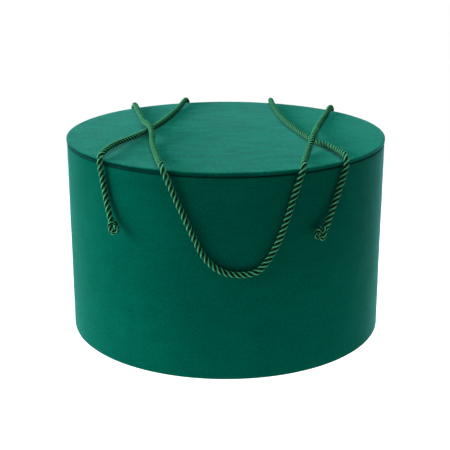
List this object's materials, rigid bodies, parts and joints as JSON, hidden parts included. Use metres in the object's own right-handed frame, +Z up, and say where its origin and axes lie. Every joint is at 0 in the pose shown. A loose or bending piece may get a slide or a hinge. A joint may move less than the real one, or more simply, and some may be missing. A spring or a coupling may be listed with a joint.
{
  "type": "hat box",
  "caption": "Round velvet-covered hat box with a flush lift-off lid, lined inside, and loose twisted carrying cords laid over the lid, each knotted at its ends.",
  "frame": {"origin": "centre of the base, on the surface that the box stands on", "axes": "+Z up through the lid, the axis of the round box; -Y the front, where one cord's loop hangs; +X to the right seen from the front"},
  "size_m": [0.321, 0.3341, 0.2166],
  "materials": {
    "velvet": "matt velvet with a short pile",
    "cord": "satin three-strand twist",
    "board": "matt grey-brown board",
    "lining": "matt lining paper",
    "base_card": "matt embossed paper over card"
  },
  "bodies": {
    "box": {"wall_board": "board", "base_board": "board", "base_cover": "base_card", "wall_velvet": "velvet", "wall_lining": "lining", "base_lining": "lining"},
    "lid": {"lid_board": "board", "lid_velvet": "velvet", "lid_ring_board": "board", "lid_ring_cover": "lining", "lid_lining": "lining", "front_loop_cord": "cord", "rear_loop_cord": "cord", "front_loop_knot_left": "cord", "front_loop_knot_right": "cord", "rear_loop_knot_left": "cord", "rear_loop_knot_right": "cord"}
  },
  "joints": [
    {"name": "lid_lift", "type": "slide", "parent": "box", "child": "lid", "axis": [0, 0, 1], "range_m": [0, 0.25]}
  ]
}
